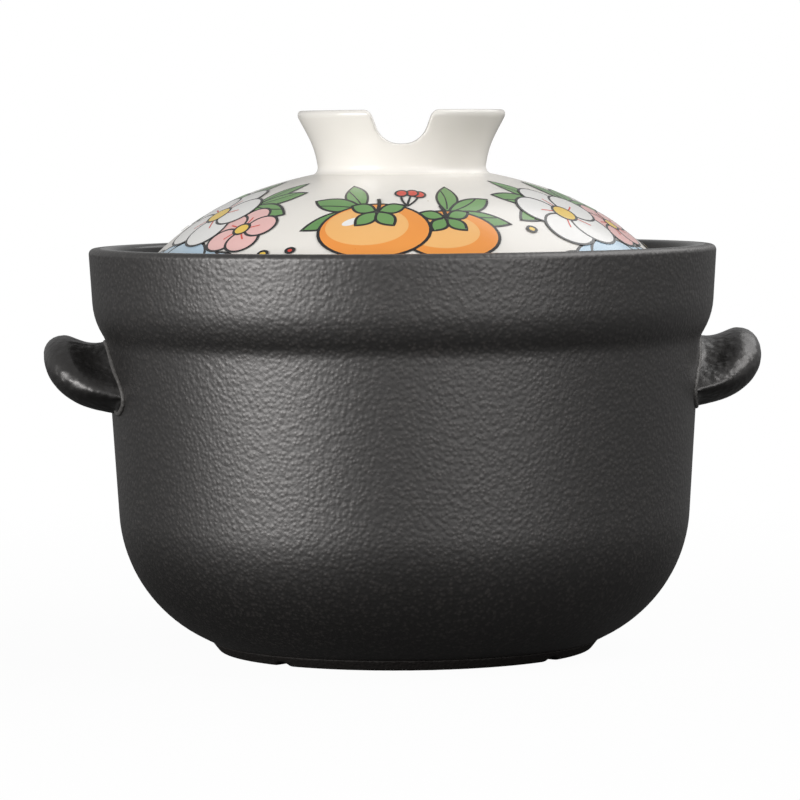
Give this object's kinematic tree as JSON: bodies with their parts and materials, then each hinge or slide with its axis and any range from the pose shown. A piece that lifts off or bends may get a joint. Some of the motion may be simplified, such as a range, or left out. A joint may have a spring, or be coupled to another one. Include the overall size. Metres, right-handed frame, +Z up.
{
  "type": "ceramic stew pot",
  "caption": "Round ceramic stew pot with a thick collar, arched lug handles, a notched foot ring and a domed lid with a slotted ring knob that lifts off its inner ledge.",
  "frame": {"origin": "centre of the foot ring on the surface the pot stands on", "axes": "+Z up along the pot's axis, handles on +X and -X, front of the picture towards -Y"},
  "size_m": [0.2576, 0.2248, 0.1936],
  "materials": {
    "body_clay": "matte charcoal with a fine dimpled grain, glazed black inside",
    "foot_clay": "bare dark clay",
    "handle_clay": "smooth satin black",
    "slip_clay": "matte grey slip",
    "lid_glaze": "glossy warm white glaze with a painted fruit and blossom pattern",
    "knob_glaze": "glossy warm white glaze"
  },
  "bodies": {
    "pot": {"pot_body": "body_clay", "foot_ring": "foot_clay", "left_handle": "handle_clay", "right_handle": "handle_clay", "left_handle_slip": "slip_clay", "right_handle_slip": "slip_clay"},
    "lid": {"lid_dome": "lid_glaze", "lid_knob": "knob_glaze", "knob_slip": "knob_glaze"}
  },
  "joints": [
    {"name": "lid_lift", "type": "slide", "parent": "pot", "child": "lid", "axis": [0, 0, 1], "range_m": [0, 0.12]}
  ]
}
